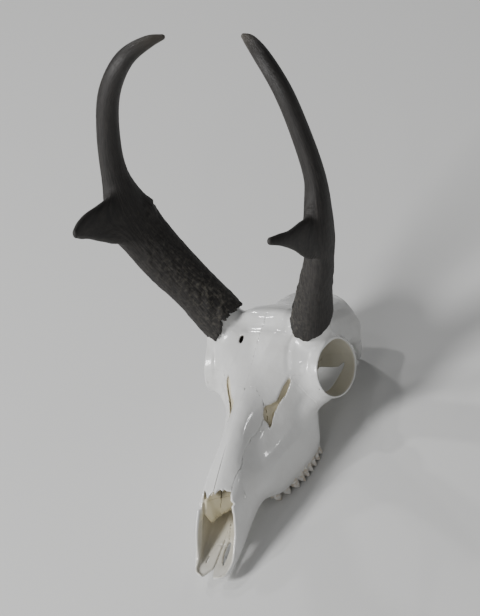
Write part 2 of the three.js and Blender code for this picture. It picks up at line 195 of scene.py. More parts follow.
class Block:
    """A box of signed distances on a grid."""

    def __init__(self, low, high, step):
        self.low, self.step = np.array(low, np.float32), step
        shape = np.ceil((np.array(high) - low) / step).astype(int) + 1
        self.d = np.full(shape, 40, np.float32)

    def copy(self):
        twin = Block(self.low, self.low, self.step)
        twin.d = self.d.copy()
        return twin

    def along_s(self):
        return (self.low[1] + self.step * np.arange(self.d.shape[1]))[None, :, None]

    def along_z(self):
        return (self.low[2] + self.step * np.arange(self.d.shape[2]))[None, None, :]

    def soften(self, times):
        """The facets of sampled forms, smoothed away."""
        for _ in range(times):
            for axis in range(3):
                d = np.moveaxis(self.d, axis, 0)
                d[1:-1] = (d[:-2] + 2 * d[1:-1] + d[2:]) / 4

    def window(self, low, high):
        """The share of the grid between two corners, and its points' x, s and z."""
        a = np.clip(np.floor((np.array(low) - self.low) / self.step).astype(int), 0, self.d.shape)
        b = np.clip(np.ceil((np.array(high) - self.low) / self.step).astype(int) + 1, 0, self.d.shape)
        where = tuple(slice(i, j) for i, j in zip(a, b))
        x, s, z = (self.low[k] + self.step * np.arange(a[k], b[k], dtype=np.float32) for k in range(3))
        return where, x[:, None, None], s[None, :, None], z[None, None, :]

    def put(self, form, soft=0.0, sign=1):
        """Add a form, which is its lowest corner, its highest and its distance at any points."""
        low, high, distance = form
        where, x, s, z = self.window(np.array(low) - soft - 2, np.array(high) + soft + 2)
        if self.d[where].size:
            self.d[where] = sign * blend(sign * self.d[where], distance(x, s, z), soft)

    def cut(self, form, soft):
        self.put(form, soft, -1)

    def read(self, points):
        """The distance at any points, between the grid's own."""
        g = (points - self.low) / self.step
        g = np.clip(g, 0, np.array(self.d.shape) - 1.001)
        i = g.astype(np.int64)
        f = (g - i).astype(np.float32)
        total = 0
        for dx, dy, dz, share in corner_shares(f):
            total = total + share * self.d[i[:, 0] + dx, i[:, 1] + dy, i[:, 2] + dz]
        return total


def ball(centre, radii):
    c, r = np.array(centre, float), np.array(radii, float) * np.ones(3)

    def distance(x, s, z):
        near = ((x - c[0]) / r[0]) ** 2 + ((s - c[1]) / r[1]) ** 2 + ((z - c[2]) / r[2]) ** 2
        far = ((x - c[0]) / r[0] ** 2) ** 2 + ((s - c[1]) / r[1] ** 2) ** 2
        far = far + ((z - c[2]) / r[2] ** 2) ** 2
        near = np.sqrt(near)
        return (near * (near - 1) / np.sqrt(np.maximum(far, 1e-9))).astype(np.float32)

    return c - r, c + r, distance


def finer(coarse, shape):
    """Values kept at every other point, filled in between."""
    for axis, n in enumerate(shape):
        i = np.arange(n)
        a = np.take(coarse, i // 2, axis)
        b = np.take(coarse, np.minimum((i + 1) // 2, coarse.shape[axis] - 1), axis)
        coarse = (a + b) / 2
    return coarse


def bar(stops, wide=(0, 0, 1), large=False):
    """A bar through stops of (x, s, z, half-thickness, half-breadth), broad towards wide."""
    stops = np.array(stops, float)
    per = 6 if large else 5
    path = smooth_path(stops[:, :3], per)
    index = np.arange(len(path)) / per
    at = np.arange(len(stops))
    thin = curve(*zip(at, stops[:, 3]))(index)
    broad = curve(*zip(at, stops[:, 4]))(index)
    run = np.gradient(path, axis=0)
    run /= np.linalg.norm(run, axis=1, keepdims=True)
    across = np.cross(run, np.array(wide, float))
    across /= np.linalg.norm(across, axis=1, keepdims=True)
    up = np.cross(across, run)
    reach = max(stops[:, 3].max(), stops[:, 4].max())

    def distance(x, s, z):
        shape = (x.size, s.size, z.size)
        if large:
            x, s, z = x[::2], s[:, ::2], z[:, :, ::2]
        small = (x.size, s.size, z.size)
        near = np.full(small, 1e9, np.float32)
        which = np.zeros(small, np.int16)
        for k, p in enumerate(path.astype(np.float32)):
            d2 = (x - p[0]) ** 2 + (s - p[1]) ** 2 + (z - p[2]) ** 2
            closer = d2 < near
            near[closer] = d2[closer]
            which[closer] = k
        q = np.stack(np.broadcast_arrays(x, s, z), -1).reshape(-1, 3)
        k = which.ravel()
        off = q - path[k]
        ahead = (off * run[k]).sum(1)
        step = np.where(ahead > 0, 1, -1)
        other = np.clip(k + step, 0, len(path) - 1)
        span = np.linalg.norm(path[other] - path[k], axis=1)
        t = np.where(other == k, 0, np.clip(np.abs(ahead) / np.maximum(span, 1e-6), 0, 1))[:, None]
        middle = path[k] * (1 - t) + path[other] * t
        off = q - middle
        a_axis = across[k] * (1 - t) + across[other] * t
        b_axis = up[k] * (1 - t) + up[other] * t
        ra = thin[k] * (1 - t[:, 0]) + thin[other] * t[:, 0]
        rb = broad[k] * (1 - t[:, 0]) + broad[other] * t[:, 0]
        a, b = (off * a_axis).sum(1), (off * b_axis).sum(1)
        c = np.sqrt(np.maximum((off**2).sum(1) - a**2 - b**2, 0))
        rc = np.minimum(ra, rb)
        n0 = np.sqrt((a / ra) ** 2 + (b / rb) ** 2 + (c / rc) ** 2)
        n1 = np.sqrt((a / ra**2) ** 2 + (b / rb**2) ** 2 + (c / rc**2) ** 2)
        out = (n0 * (n0 - 1) / np.maximum(n1, 1e-6)).astype(np.float32).reshape(small)
        return finer(out, shape) if large else out

    return path.min(0) - reach, path.max(0) + reach, distance


def rod(*stops):
    """A round bar through stops of (x, s, z, radius)."""
    return bar([(x, s, z, r, r) for x, s, z, r in stops])


def hull(lines, start, end):
    """A body over lines along it, each a pair of half-width and height curves, without ends."""
    def distance(x, s, z):
        shape = (x.size, s.size, z.size)
        across, along, up = x.ravel()[::2], s.ravel()[::2], z.ravel()[::2]
        out = np.empty((across.size, along.size, up.size), np.float32)
        for j, at in enumerate(along):
            here = np.clip(at, start, end)
            half = np.array([[u(here), v(here)] for u, v in lines])
            loop = smooth_loop(np.concatenate([half, half[-2:0:-1] * [-1, 1]]))
            out[:, j, :] = outline_distance(loop, across[:, None], up[None, :])
        return finer(out, shape)

    return np.array([-80, start, -5]), np.array([80, end, 130]), distance


def capped(form, start, end):
    """A form closed by flat ends."""
    low, high, inner = form

    def distance(x, s, z):
        return np.maximum(inner(x, s, z), np.maximum(start - s, s - end))

    return low, high, distance


def from_above(outline, z0, z1):
    """An outline of (x, s) points, drawn out upwards."""
    o = np.array(outline, float)

    def distance(x, s, z):
        flat = outline_distance(o, x[:, :, 0], s[:, :, 0])[:, :, None]
        return np.maximum(flat, np.maximum(z0 - z, z - z1)).astype(np.float32)

    return np.array([*o.min(0), z0]), np.array([*o.max(0), z1]), distance


def from_side(outline, x0, x1):
    """An outline of (s, z) points, drawn out sideways."""
    o = np.array(outline, float)

    def distance(x, s, z):
        flat = outline_distance(o, s[0], z[0])[None]
        return np.maximum(flat, np.maximum(x0 - x, x - x1)).astype(np.float32)

    low, high = o.min(0), o.max(0)
    return np.array([x0, low[0], low[1]]), np.array([x1, high[0], high[1]]), distance


def round_orbit(x, s, z):
    """Each point's depth in the eye socket, how far off its axis, and -1 to 1 for the way off."""
    px, ps, pz = x - ORBIT_AT[0], s - ORBIT_AT[1], z - ORBIT_AT[2]
    depth = -(px * ORBIT_AXIS[0] + ps * ORBIT_AXIS[1] + pz * ORBIT_AXIS[2])
    a = px * ORBIT_FRONT[0] + ps * ORBIT_FRONT[1] + pz * ORBIT_FRONT[2]
    r = np.sqrt(np.maximum(px**2 + ps**2 + pz**2 - depth**2, 1e-6))
    return depth, r, 2 * (a / r) ** 2 - 1


def orbit_cone(outer, inner, near_end, far_end):
    """A cone on the eye socket's axis, from its slightly oval mouth inwards."""
    def distance(x, s, z):
        depth, r, way = round_orbit(x, s, z)
        share = np.clip(depth / max(far_end, 1), 0, 1)
        stretch = 1 + ORBIT_OVAL * way * (1 - share)
        side = r - (outer + (inner - outer) * share) * stretch
        return np.maximum(side, np.maximum(near_end - depth, depth - far_end)).astype(np.float32)

    reach = max(outer, inner) + 8
    ends = [ORBIT_AT - ORBIT_AXIS * near_end, ORBIT_AT - ORBIT_AXIS * far_end]
    return np.min(ends, 0) - reach, np.max(ends, 0) + reach, distance


def orbit_bowl(mouth, deep):
    """The eye socket's hollow, round-bottomed behind its slightly oval mouth."""
    def distance(x, s, z):
        depth, r, way = round_orbit(x, s, z)
        wide = mouth * (1 + ORBIT_OVAL * way * np.clip(1 - depth / deep, 0, 1))
        round_ = np.sqrt((r / wide) ** 2 + (np.maximum(depth, 0) / deep) ** 2.4)
        return np.maximum((round_ - 1) * mouth * 0.8, -6 - depth).astype(np.float32)

    ends = [ORBIT_AT + ORBIT_AXIS * 6, ORBIT_AT - ORBIT_AXIS * deep]
    return np.min(ends, 0) - mouth - 4, np.max(ends, 0) + mouth + 4, distance


def beyond(form, other):
    """The part of a form that lies outside another."""
    low, high, inner = form

    def distance(x, s, z):
        return np.maximum(inner(x, s, z), -other[2](x, s, z))

    return low, high, distance


def slanting(outline, start, end, depth):
    """The open way from the eye socket down and back to the throat, by its outline across it."""
    o = smooth_loop(outline, 2)
    across = np.cross(THROAT_WAY, [0, 0, 1.0])
    across /= np.linalg.norm(across)
    up = np.cross(across, THROAT_WAY)

    def distance(x, s, z):
        px, ps, pz = x - ORBIT_AT[0], s - ORBIT_AT[1], z - ORBIT_AT[2]

        def share(axis):
            return px * axis[0] + ps * axis[1] + pz * axis[2]

        run = share(THROAT_WAY)
        flat = outline_distance(o, share(across), share(up))
        return np.maximum(np.maximum(flat, depth + share(ORBIT_AXIS)),
                          np.maximum(start - run, run - end)).astype(np.float32)

    ends = np.array([ORBIT_AT + THROAT_WAY * start, ORBIT_AT + THROAT_WAY * end])
    return ends.min(0) - 24, ends.max(0) + 24, distance


# ---- Skinning a block


EDGES = [(a, b) for a in range(8) for b in range(a + 1, 8) if abs(CORNERS[a] - CORNERS[b]).sum() == 1]


def surface_cells(d):
    """One point in each cell that the zero level crosses, and the four-sided faces between."""
    inside = d < 0
    count = np.zeros(np.array(d.shape) - 1, np.int8)
    for c in CORNERS:
        count += inside[tuple(slice(c[k], c[k] + count.shape[k]) for k in range(3))]
    active = (count > 0) & (count < 8)
    number = np.full(count.shape, -1, np.int64)
    cells = np.argwhere(active)
    number[active] = np.arange(len(cells))
    total = np.zeros((len(cells), 3))
    hits = np.zeros(len(cells))
    values = [d[tuple((cells + c).T)] for c in CORNERS]
    for a, b in EDGES:
        va, vb = values[a], values[b]
        cross = (va < 0) != (vb < 0)
        t = np.where(cross, va / np.where(cross, va - vb, 1), 0)[:, None]
        total += np.where(cross[:, None], CORNERS[a] + t * (CORNERS[b] - CORNERS[a]), 0)
        hits += cross
    faces = []
    one = np.eye(3, dtype=int)
    for axis in range(3):
        u, v = (axis + 1) % 3, (axis + 2) % 3
        a = inside[tuple(slice(0, -1) if k == axis else slice(1, -1) for k in range(3))]
        b = inside[tuple(slice(1, None) if k == axis else slice(1, -1) for k in range(3))]
        at = np.argwhere(a != b) + (1 - one[axis])
        leaving = a[a != b]
        shifts = (one[u] * 0, one[u], one[u] + one[v], one[v])
        quad = np.stack([number[tuple((at - shift).T)] for shift in shifts], 1)
        quad[~leaving] = quad[~leaving][:, ::-1]
        faces.append(quad)
    return cells + total / hits[:, None], np.concatenate(faces)


def sizeable_bodies(faces, count):
    """The faces without the crumbs that parting a bone can leave."""
    label = np.arange(count)
    pairs = np.concatenate([faces[:, [0, 1]], faces[:, [1, 2]], faces[:, [2, 3]]])
    fresh = None
    while fresh is None or (fresh != label).any():
        label = label if fresh is None else fresh
        low = np.minimum(label[pairs[:, 0]], label[pairs[:, 1]])
        fresh = label.copy()
        np.minimum.at(fresh, pairs[:, 0], low)
        np.minimum.at(fresh, pairs[:, 1], low)
        fresh = fresh[fresh]
    names, sizes = np.unique(label[faces[:, 0]], return_counts=True)
    keep = np.isin(label[faces[:, 0]], names[sizes > min(400, sizes.max() / 2)])
    faces = faces[keep]
    used, faces = np.unique(faces, return_inverse=True)
    return used, faces.reshape(-1, 4)


def slide(points, block, mask):
    """Points moved along the slope of a field towards its zero level."""
    level = block.read(points)
    slope = np.stack([block.read(points + e) - block.read(points - e) for e in np.eye(3) * 0.5], 1)
    steep = np.maximum((slope**2).sum(1), 0.15)
    move = -np.clip(level / steep, -0.4, 0.4)[:, None] * slope
    return points + move * mask[:, None]


def skin(body, region, low, step):
    """The closed surface round what body and region share, with a crisp edge where the cut
    meets the bone's own surface."""
    body, region = (np.pad(d / step, 2, constant_values=5.0) for d in (body, region))
    low = np.array(low) - 2 * step
    points, faces = surface_cells(np.maximum(body, region))
    used, faces = sizeable_bodies(faces, len(points))
    points = points[used]
    own, cut = Block(np.zeros(3), np.zeros(3), 1.0), Block(np.zeros(3), np.zeros(3), 1.0)
    own.d, cut.d = body, region
    gap = own.read(points) - cut.read(points)
    on_body, on_cut = (gap > -0.6).astype(float), (gap < 0.6).astype(float)
    for _ in range(3):
        points = slide(points, own, on_body)
        points = slide(points, cut, on_cut)
    return points * step + low, faces


def in_frame(points):
    """Points in metres in the part's own frame."""
    return (points - [0, CAD_SHIFT, 0]) * 0.001


def make_piece(name, points, faces, nodes, slot, material, **values):
    """One closed mesh that stands for CAD nodes, with named values on its points."""
    mesh = bpy.data.meshes.new(name)
    mesh.from_pydata(in_frame(points).tolist(), [], faces.tolist())
    for key, value in values.items():
        kind = "FLOAT_VECTOR" if value.ndim == 2 else "FLOAT"
        layer = mesh.attributes.new(key, kind, "POINT")
        layer.data.foreach_set("vector" if value.ndim == 2 else "value",
                               np.ascontiguousarray(value, np.float32).ravel())
    mesh.polygons.foreach_set("use_smooth", np.ones(len(faces), bool))
    mesh.materials.append(material)
    if slot == "bone":
        mesh.set_sharp_from_angle(angle=SHARP_EDGE)
    mesh.update()
    piece = bpy.data.objects.new(name, mesh)
    bpy.context.scene.collection.objects.link(piece)
    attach(piece, "root")
    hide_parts(*nodes)
    return piece


# ---- The face and the braincase: lines from the roof's middle round to the floor's middle


def middle(s):
    return 0.0 * s


FACE = [
    (middle, curve((20, 47), (48, 58.5), (58, 63), (75, 69.5), (100, 78), (125, 85), (145, 89.5),
                   (170, 98), (190, 105.5), (202, 108.6), (216, 102))),
    (curve((7, 5), (20, 7.5), (48, 8.5), (80, 8.8), (100, 8), (120, 8), (145, 10), (160, 14.5),
           (172, 22), (190, 32), (206, 36)),
     curve((20, 44), (48, 55.5), (58, 60), (75, 66), (100, 74.5), (125, 81.5), (145, 85.5),
           (160, 88.5), (172, 92), (190, 99), (203, 102.4), (216, 97))),
    (curve((7, 7), (20, 13), (48, 15.4), (60, 16.4), (78, 16.8), (100, 15.6), (120, 16.2),
           (137, 19.4), (150, 24.5), (172, 35), (190, 46), (206, 48)),
     curve((20, 36), (48, 47), (60, 52.5), (78, 58.5), (100, 61.5), (120, 64), (137, 66),
           (150, 70), (172, 80), (190, 88), (206, 92))),
    (curve((7, 8), (9, 13.5), (12, 15.8), (17, 17), (24, 17.6), (40, 18), (48, 18.4), (60, 19.2),
           (80, 21.2), (100, 25.6), (120, 30.5), (145, 36.5), (160, 38.6), (175, 42.4), (206, 42)),
     curve((7, 15), (20, 20), (48, 30), (80, 38), (120, 42), (160, 40), (175, 46), (190, 58),
           (206, 66))),
    (curve((7, 8), (9, 13), (12, 15.6), (17, 16.9), (24, 17.4), (40, 17.8), (60, 18.4), (80, 19.3),
           (90, 20), (97, 22), (107, 25.5), (120, 30), (135, 34.5), (150, 37.5), (165, 38.5),
           (175, 35), (190, 30), (206, 26)),
     curve((7, 11), (20, 11.5), (30, 12), (40, 13), (48, 14.7), (60, 18), (70, 20.2), (80, 21.2),
           (90, 20), (97, 16.5), (107, 10.4), (120, 8.6), (150, 8.6), (160, 10), (166, 14), (175, 24),
           (190, 38), (206, 46))),
    (curve((7, 5), (12, 9.5), (48, 11.5), (80, 12), (95, 13), (107, 15), (130, 19), (150, 21),
           (165, 21), (180, 19), (206, 16)),
     curve((7, 9.5), (20, 10.5), (30, 11.5), (48, 14.7), (60, 17), (80, 19.5), (95, 17),
           (107, 9.6), (130, 8.4), (150, 8.8), (160, 11), (166, 17), (180, 32), (206, 44))),
    (middle, curve((7, 9), (25, 12.3), (35, 13.8), (48, 16), (60, 18.5), (80, 21.5), (107, 24),
                   (130, 25), (150, 27), (165, 30), (180, 36), (206, 45))),
]

BRAINCASE = [
    (middle, curve((196, 90), (204, 103.5), (213, 112), (224, 112.6), (238, 104), (250, 93),
                   (262, 82), (276, 73), (288, 68))),
    (curve((196, 26), (222, 24), (245, 24), (265, 25), (280, 28), (288, 22)),
     curve((196, 86), (205, 100.5), (216, 110), (226, 108), (238, 98), (250, 87), (265, 77),
           (280, 68.5), (288, 65))),
    (curve((196, 38), (215, 39), (232, 38), (255, 38), (270, 40), (280, 40), (288, 29)),
     curve((196, 80), (215, 86), (232, 77), (245, 69), (260, 59), (275, 50), (288, 48))),
    (curve((196, 22), (215, 25), (235, 31), (255, 35), (275, 35), (283, 26), (288, 18)),
     curve((196, 58), (215, 55), (235, 46), (255, 37), (275, 31), (288, 33))),
    (middle, curve((196, 48), (215, 46), (235, 41), (255, 35), (275, 29), (288, 31))),
]


def outer_form(low, high):
    """Half the skull as one body without its hollows, and half the face alone."""
    skull = Block(low, high, VOXEL)
    face = Block(low, high, VOXEL)
    face.put(hull(FACE, SNOUT_FRONT - 16, FACE_END))
    face.soften(3)
    skull.put(capped(hull(BRAINCASE, BRAIN_FRONT, BRAIN_END), BRAIN_FRONT, BRAIN_END))
    skull.d = blend(skull.d, np.maximum(face.d, face.along_s() - FACE_CAP), 9)
    skull.d = np.maximum(skull.d, SNOUT_FRONT - skull.along_s())

    # Eye sockets' outer walls, the horn's bony knob, and the cheek's corner below the eye.
    skull.put(orbit_cone(ORBIT_RADIUS - 0.8, 29.5, 1.5, 34), 7)
    skull.put(orbit_cone(ORBIT_RADIUS, ORBIT_RADIUS + 1, 0, 8), 1.5)
    skull.put(bar([(35, 210, 70, 12, 14), (38.5, 212.5, 84, 15.5, 18), (41.5, 213.6, 98, 15.4, 18.5),
                   (46, 214.4, 112, 14.4, 17.6), (52, 214.5, 127, 12, 16.5)], BLADE_FACING), 9)
    skull.put(bar([(32, 163, 44, 5, 6), (38, 171.5, 50, 6, 7), (47, 180, 54, 5, 7)]), 8)
    # The cheekbone's bridge, the root it meets, the ear's outer tube and the ear's bony drum.
    skull.put(bar([(58, 192, 50, 3, 5), (61.5, 208, 51, 2.4, 5), (60, 222, 50.5, 2.1, 4.8),
                   (53, 236, 50, 2.3, 5), (42, 247, 50, 3.2, 6), (33, 252, 50, 4, 8)]), 3)
    skull.put(ball((38, 247, 44), (7, 8, 6)), 4)
    skull.put(ball((20, 247, 31), (8, 12, 8.5)), 3)
    # The nape's crest, the knuckles of the neck joint and the jugular processes.
    skull.put(rod((0, 289, 68, 2.2), (10, 289.5, 66.5, 2.0), (20, 288, 65.5, 1.9),
                  (29.5, 284.5, 63, 1.9), (36.8, 280, 52.5, 2.2), (40.2, 276.5, 42, 2.4),
                  (38.5, 272, 32, 2.6)), 3)
    skull.put(ball((13, 283, 33), (8.5, 8.5, 11)), 3)
    skull.put(bar([(35, 271, 40, 5, 8), (35.6, 272.5, 28, 3.4, 7), (32.8, 274, 16, 2.8, 5.5),
                   (28.5, 275.5, 6, 2.3, 3.8), (27, 276.3, 2.6, 2, 2.4)], (0, 1, 0)), 4)
    # The winged plates behind the palate.
    skull.put(bar([(12, 166, 31, 1.6, 9), (12.5, 178, 33, 1.4, 12), (12.8, 192, 36, 1.4, 12.5),
                   (13.5, 206, 40, 1.6, 10), (14, 216, 44, 2, 7)]), 3)
    skull.soften(1)
    return skull, face


def hollow_out(skull, face):
    """Eye socket, temple, throat and nose, the same on both sides."""
    skull.cut(orbit_bowl(ORBIT_OPENING, 33), 0.8)
    # The open way under the eye to the throat, and the temple's hollow behind the eye.
    skull.cut(slanting(THROAT_OPENING, -12, 96, 3), 0.8)
    skull.cut(beyond(ball((50, 233, 62), (10, 18, 26)), orbit_cone(ORBIT_RADIUS + 0.8, 30, -4, 40)), 3)
    skull.cut(ball((44, 262, 96), (20, 26, 22)), 8)
    skull.cut(ball((0, 196, 22), (9.5, 34, 17)), 2)
    skull.cut(ball((0, 293, 41), (9.5, 17, 9)), 2)
    skull.cut(ball((17, 300, 55), (13, 14, 10)), 5)

    # The nose's passage, with walls of bone left round it.
    s, z = face.along_s(), face.along_z()
    wall = BONE_WALL - 0.5 + 0.02 * np.clip(60 - z, 0, 45)
    skull.d = -blend(-skull.d, np.maximum(face.d + wall, s - 171), 1.0)
    sides = [(-20, 14.6), (6, 14.6), (14, 15.6), (22, 17.6), (28, 21.3), (33, 25.4), (38.7, 30),
             (44, 36), (49, 42.5), (51, 45.5)]
    skull.cut(from_side([(-20, 52), *sides, (51, 52)], -5, 60), 1.0)
    skull.cut(from_side([(-20, 75), *sides, (53, 48.5), (57.8, 54.2), (63, 58.4), (62, 62),
                         (56, 75)], 12.6, 60), 0.4)

    # The upright plate in the middle of the nose.
    skull.put(from_side([(66, 20), (75, 33), (100, 44), (140, 56), (172, 70), (172, 20)], -1, 0.7), 1.5)


def open_slit(skull, whole, outline, deep):
    """One slit between nasal, frontal and tear bone, with the thin bone that shows under it."""
    low, high, plan = from_above(outline, 50, 120)
    where, x, s, z = skull.window(low - 5, high + 5)
    flat = plan(x, s, z)
    skull.d[where] = -blend(-skull.d[where], flat, 0.6)
    sheet = np.maximum(np.abs(whole.d[where] + deep) - 1.0, flat - 3.6)
    skull.d[where] = blend(skull.d[where], sheet, 1.0)


def trim_snout(skull, front, tips):
    """The snout's front edge and the nasals' broken tips, each seen from above."""
    skull.cut(from_above([(-2, -10), (40, -10), (40, 16.5), *front, (0.45, 44), (-2, 46)], -5, 30), 1.0)
    skull.cut(from_above([(-2, -20), (60, -20), (60, 57), (13.4, 57), *tips, (-2, 58.6)], 50, 120), 0.4)


def left_side(skull):
    """What only the left half has."""
    trim_snout(skull, [(17.6, 16.5), (15.6, 12.2), (13, 9.9), (9, 8.4), (5, 7.6), (3, 7.8),
                       (1.8, 9.2), (0.9, 12), (0.6, 15)],
               [(12.6, 62), (12.2, 63.6), (9.6, 62.2), (8, 62.6), (6.6, 60.4), (5, 61.4),
                (3.2, 59.4), (1.5, 56), (0.4, 58.6)])
    skull.cut(from_above([(7.4, 20.4), (7.8, 29), (7.5, 36), (7, 41), (5.4, 44.2), (3.9, 42),
                          (3.4, 37), (4, 30), (5.7, 23.5)], 2, 30), 0.5)
    skull.cut(from_above([(4.9, 42), (5.3, 42), (2.4, 53.2), (0.6, 60), (0.2, 60)], 2, 34), 0.2)
    # The front sheet of the nose's scrolls.
    skull.put(bar([(-5, 59.6, 45.8, 1, 10.5), (-1, 61.6, 46.6, 1, 11), (1, 62.8, 47.2, 1, 11),
                   (5.1, 65.8, 48.8, 1, 10.5), (10.1, 69, 50.6, 1, 10), (16, 72.5, 52.6, 1, 9)],
                  SCROLL_FACING), 1.2)
    # The brow's hole and the furrows that run into it.
    skull.cut(rod((31, 202, 105.6, 1.2), (29, 196, 104.4, 1.5), (29, 190, 102.2, 1.4)), 1.5)
    skull.cut(rod((29, 190, 102.6, 1.8), (29.5, 182, 97.6, 1.7), (31, 175, 91.5, 1.4)), 3)


def right_side(skull):
    """What only the right half has, as if it were the left."""
    trim_snout(skull, [(17.8, 16.5), (16.6, 12.4), (14.4, 9.6), (11, 7.9), (8.2, 7.9), (7.2, 9.8),
                       (5.6, 11.8), (3.2, 14.8), (1, 17), (0.45, 22)],
               [(12.6, 61.5), (12, 62.5), (8.2, 58), (6, 54), (4.6, 53.4), (3.2, 56), (1.6, 57.4),
                (0.5, 58.6)])
    skull.cut(from_above([(9.4, 21.3), (8.8, 23.4), (8.6, 27.3), (9.3, 30), (10.2, 28.8),
                          (10.6, 25.4), (10.2, 22.1)], 2, 30), 0.4)
    skull.put(bar([(16, 22, 15, 1.4, 2.5), (16.6, 32, 27, 1.7, 3.5), (16.6, 40, 36.5, 1.7, 3.5),
                   (16, 50, 46, 1.4, 3)]), 4)
    # The brow's hole and the furrows that run into it.
    skull.cut(bar([(17.4, 193.3, 107.5, 2.2, 3.6), (18.2, 195.5, 101, 2.1, 3.4),
                   (19.4, 198.5, 94, 1.8, 3)], (0, 1, 0.4)), 0.8)
    skull.cut(rod((18, 194, 106.6, 1.4), (21.5, 198, 107.4, 1.2), (25.5, 201.5, 107.6, 0.9)), 1.5)
    skull.cut(rod((18.6, 190, 105.8, 1.9), (20.5, 184, 102.6, 1.9), (23, 178, 98.2, 1.8),
                  (27.2, 171.5, 91.6, 1.5)), 3)
    # The front sheet of the nose's scrolls, its lower edge slanting down to the right.
    skull.put(bar([(-5.1, 65.8, 48.8, 1, 10.5), (-1, 62.8, 47.2, 1, 11), (1, 61.6, 46.6, 1, 11),
                   (5, 59.2, 45.6, 1, 10.8), (9, 55.2, 43.6, 1, 11), (13.4, 52, 41.8, 1, 10)],
                  SCROLL_FACING), 1.2)


SCROLL_FACING = (-0.06, 0.68, 0.73)
THROAT_OPENING = [(-14.5, 6.1), (-9, 4.4), (1.4, 0.2), (4.4, 1.0), (7.8, 1.8), (6.2, -0.8), (3, -3.9),
                  (-0.5, -6.5), (-4.5, -9.4), (-8.3, -11.9), (-12.5, -14.2), (-16.1, -15),
                  (-19, -14), (-21, -11), (-20, -7), (-18, -1)]
SLIT_LEFT = [(31.2, 172.6), (29.8, 170.3), (26.6, 163.8), (24.8, 158.5), (23.1, 153.7), (20.1, 149.7),
             (16.5, 145.3), (15.8, 142.4), (15.9, 138), (16.4, 135.2), (17.8, 135.8), (19.3, 135.3),
             (20.6, 133), (21, 136), (21.2, 140.2), (21.9, 145.1), (25, 153.4), (28, 159.5),
             (29.9, 163.6), (31.8, 169.8)]
SLIT_RIGHT = [(27.2, 169.6), (28.9, 167.7), (28.8, 163.6), (26.6, 158.3), (23.2, 152.4), (21.2, 147),
              (19.4, 141), (14.8, 133), (10, 123.4), (7.8, 120.6), (6.9, 125), (7.2, 133), (8.2, 139),
              (11.6, 143.6), (16.8, 148.9), (20.6, 156.2), (23.4, 164)]


def skull_halves():
    """The left half, the right half as if it were the left, and the half without hollows."""
    low, high = np.array([-4 * VOXEL, -4, -3]), np.array([73, 296, 122])
    skull, face = outer_form(low, high)
    whole = skull.copy()
    hollow_out(skull, face)
    left, right = skull, skull.copy()
    open_slit(left, whole, SLIT_LEFT, 5.0)
    open_slit(right, whole, SLIT_RIGHT, 3.9)
    left_side(left)
    right_side(right)
    return left, right, whole


# ---- Where one bone ends and the next begins


def along_line(value, stops):
    """Straight lines through (at, value) stops."""
    at, out = np.array(stops, float).T
    return np.interp(value, at, out).astype(np.float32)


def bone_regions(x, s, z, wave):
    """Signed distances to each bone's share of the skull, negative inside."""
    nasal = np.maximum(x - along_line(s, [(48, 13), (64, 12.8), (86, 13.6), (101, 12.2), (116, 13.2),
                                          (130, 16), (138, 16.8), (150, 18)]) - wave, 49.5 - z)
    back = s - along_line(np.abs(x), [(0, 150), (3, 152), (8, 154), (12, 149), (15, 147), (17, 138)])
    nasal = np.maximum(nasal, back - 1.6 * wave)
    snout_line = s - along_line(z, [(-5, 36), (16, 39), (32, 52), (45.8, 67.4), (53.7, 73), (69, 92)])
    snout_line = snout_line * 0.8 - wave
    slit = x - along_line(s, [(130, 18), (141, 19.3), (147, 20), (153, 24.5), (161, 29), (168, 31.2),
                              (173, 32.8), (180, 34)])
    eye_line = along_line(s, [(171, 85.5), (198.5, 71.3), (236, 59), (300, 59)])
    inner = along_line(s, [(0, 33), (208, 33), (226, 40.5), (238, 41.5)])
    crown = s - along_line(x, [(0, 226), (24, 226), (42, 235), (64, 243)]) - 2 * wave
    nape = s - along_line(z, [(-5, 252), (6, 252.5), (16, 257), (28, 259), (40, 262), (56, 268),
                              (95, 273)]) - wave
    arch = ((x - 46.9) * 16.4 - (s - 242.5) * 12.3) / 20.5
    front = s - 171.5

    roof_front = np.maximum(np.maximum(slit, 50 - z), np.maximum(front, 138 - s))
    roof_back = np.maximum(-front, np.where(x > inner, eye_line + wave, 62) - z)
    frontal = np.maximum(np.minimum(roof_front, roof_back), np.maximum(crown, -nasal))
    cheek = np.maximum(np.maximum(-front, z - eye_line - wave), np.maximum(inner - x, -arch))
    premaxilla = np.maximum(snout_line, -nasal)
    maxilla = np.maximum(np.maximum(-snout_line, front), np.maximum(-nasal, -roof_front))
    base = np.maximum(np.maximum(-front, z - 62), np.maximum(s - 229, x - inner))
    brain = np.maximum(nape, -np.maximum(-arch, 236 - s - (x < 41) * 30))
    brain = np.maximum(brain, np.where(z > 62, -crown, 229 - s))
    brain = np.maximum(brain, np.where(x > 41, arch, -40))
    return {
        "nasal": nasal, "premaxilla": premaxilla, "maxilla": maxilla, "frontal": frontal,
        "cheekbone": cheek, "skull_base": base, "braincase": brain, "occiput": -nape,
    }


WINDOWS = {
    "nasal": ((-9, 46, 44), (24, 160, 96)),
    "premaxilla": ((-9, -6, 0), (24, 96, 74)),
    "maxilla": ((-9, 34, 0), (60, 176, 92)),
    "frontal": ((-9, 136, 46), (73, 250, 122)),
    "cheekbone": ((30, 166, 10), (73, 260, 92)),
    "skull_base": ((-9, 166, 8), (46, 234, 66)),
    "braincase": ((-9, 220, 8), (60, 278, 120)),
    "occiput": ((-9, 248, 0), (50, 296, 90)),
}
PAIRED = ("nasal", "premaxilla", "maxilla", "cheekbone", "frontal")


